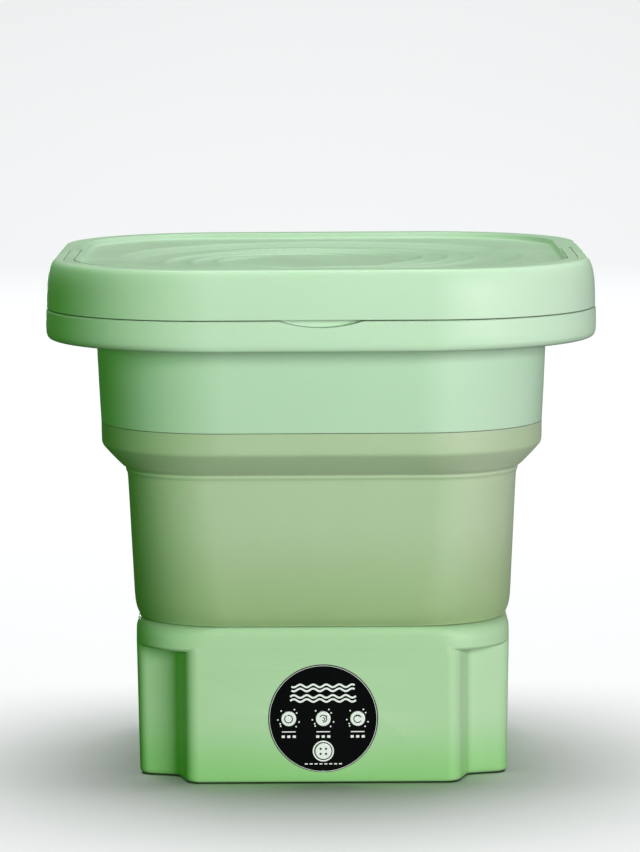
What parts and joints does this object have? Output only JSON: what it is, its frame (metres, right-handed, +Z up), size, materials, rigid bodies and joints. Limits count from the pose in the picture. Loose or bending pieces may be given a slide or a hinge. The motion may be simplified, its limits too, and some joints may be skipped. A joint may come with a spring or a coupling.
{
  "type": "portable mini washer",
  "caption": "Portable folding bucket washing machine: square base with front controls, soft collapsible tub, hinged lid with bail handle, and a lift-out spin basket.",
  "frame": {"origin": "on the floor plane, under the centre of the square top rim", "axes": "+Z up, front with the control panel towards -Y, +X to the right seen from the front"},
  "size_m": [0.34, 0.3406, 0.3212],
  "materials": {
    "green_plastic": "moulded pastel green, satin",
    "soft_green": "soft thermoplastic elastomer, slightly darker sage green, satin",
    "white_plastic": "moulded white",
    "gloss_black": "glossy black",
    "rubber": "dark rubber",
    "steel": "plain steel",
    "board_green": "circuit board laminate",
    "basket_blue": "moulded light blue"
  },
  "bodies": {
    "base": {"base_housing": "green_plastic", "bottom_cover": "green_plastic", "tub_floor": "white_plastic", "drain_strainer": "white_plastic", "drain_pipe": "white_plastic", "dc_socket": "gloss_black", "socket_nut": "steel", "soft_barrel": "soft_green", "control_panel": "gloss_black", "control_board": "board_green", "motor_case": "steel", "motor_bracket": "steel", "motor_screw_front": "steel", "motor_screw_rear": "steel", "drive_belt": "rubber", "lower_bearing": "steel", "upper_bearing": "steel", "shaft_seal": "rubber", "mode_switch_left": "gloss_black", "mode_switch_middle": "gloss_black", "mode_switch_right": "gloss_black", "power_switch": "gloss_black", "foot_front_left": "rubber", "cover_screw_front_left": "steel", "foot_front_right": "rubber", "cover_screw_front_right": "steel", "foot_rear_left": "rubber", "cover_screw_rear_left": "steel", "foot_rear_right": "rubber", "cover_screw_rear_right": "steel"},
    "upper": {"upper_band": "green_plastic", "top_rim": "green_plastic", "hinge_pin_left": "steel", "hinge_pin_right": "steel"},
    "lid": {"lid": "green_plastic", "lid_liner": "white_plastic", "lid_seal": "rubber", "handle_pin_left": "steel", "handle_pin_right": "steel"},
    "handle": {"carry_handle": "green_plastic"},
    "drive": {"drive_shaft": "steel", "driven_pulley": "white_plastic", "pulsator": "white_plastic", "pulsator_screw": "steel"},
    "rotor": {"motor_shaft": "steel", "motor_pulley": "white_plastic"},
    "basket": {"spin_basket": "basket_blue"},
    "mode_button_left": {"mode_button_left": "white_plastic"},
    "mode_button_middle": {"mode_button_middle": "white_plastic"},
    "mode_button_right": {"mode_button_right": "white_plastic"},
    "power_button": {"power_button": "white_plastic"},
    "cap": {"drain_cap": "rubber"}
  },
  "joints": [
    {"name": "collapse", "type": "slide", "parent": "base", "child": "upper", "axis": [0, 0, 1], "range_m": [-0.115, 0], "deforming": ["soft_barrel"]},
    {"name": "lid_hinge", "type": "hinge", "parent": "upper", "child": "lid", "pos_m": [0, 0.1676, 0.2965], "axis": [-1, 0, 0], "range_deg": [0, 105]},
    {"name": "handle_swing", "type": "hinge", "parent": "lid", "child": "handle", "pos_m": [0, 0.002, 0.3152], "axis": [-1, 0, 0], "range_deg": [0, 95]},
    {"name": "drive_spin", "type": "hinge", "parent": "base", "child": "drive", "pos_m": [0, 0, 0.0914], "axis": [0, 0, 1], "continuous": true},
    {"name": "motor_spin", "type": "hinge", "parent": "base", "child": "rotor", "pos_m": [-0.066, 0, 0.063], "axis": [0, 0, 1], "continuous": true},
    {"name": "basket_lift", "type": "slide", "parent": "drive", "child": "basket", "axis": [0, 0, 1], "range_m": [0, 0.11]},
    {"name": "mode_button_left_press", "type": "slide", "parent": "base", "child": "mode_button_left", "axis": [0, 1, 0], "range_m": [0, 0.0008], "stiffness_N_per_m": 1200, "springref_m": -0.0004},
    {"name": "mode_button_middle_press", "type": "slide", "parent": "base", "child": "mode_button_middle", "axis": [0, 1, 0], "range_m": [0, 0.0008], "stiffness_N_per_m": 1200, "springref_m": -0.0004},
    {"name": "mode_button_right_press", "type": "slide", "parent": "base", "child": "mode_button_right", "axis": [0, 1, 0], "range_m": [0, 0.0008], "stiffness_N_per_m": 1200, "springref_m": -0.0004},
    {"name": "power_button_press", "type": "slide", "parent": "base", "child": "power_button", "axis": [0, 1, 0], "range_m": [0, 0.0008], "stiffness_N_per_m": 1200, "springref_m": -0.0004},
    {"name": "drain_cap_pull", "type": "slide", "parent": "base", "child": "cap", "axis": [0, 1, 0], "range_m": [0, 0.015]}
  ],
  "couplings": [
    {"joint": "motor_spin", "follows": "drive_spin", "ratio": 4.9773}
  ]
}
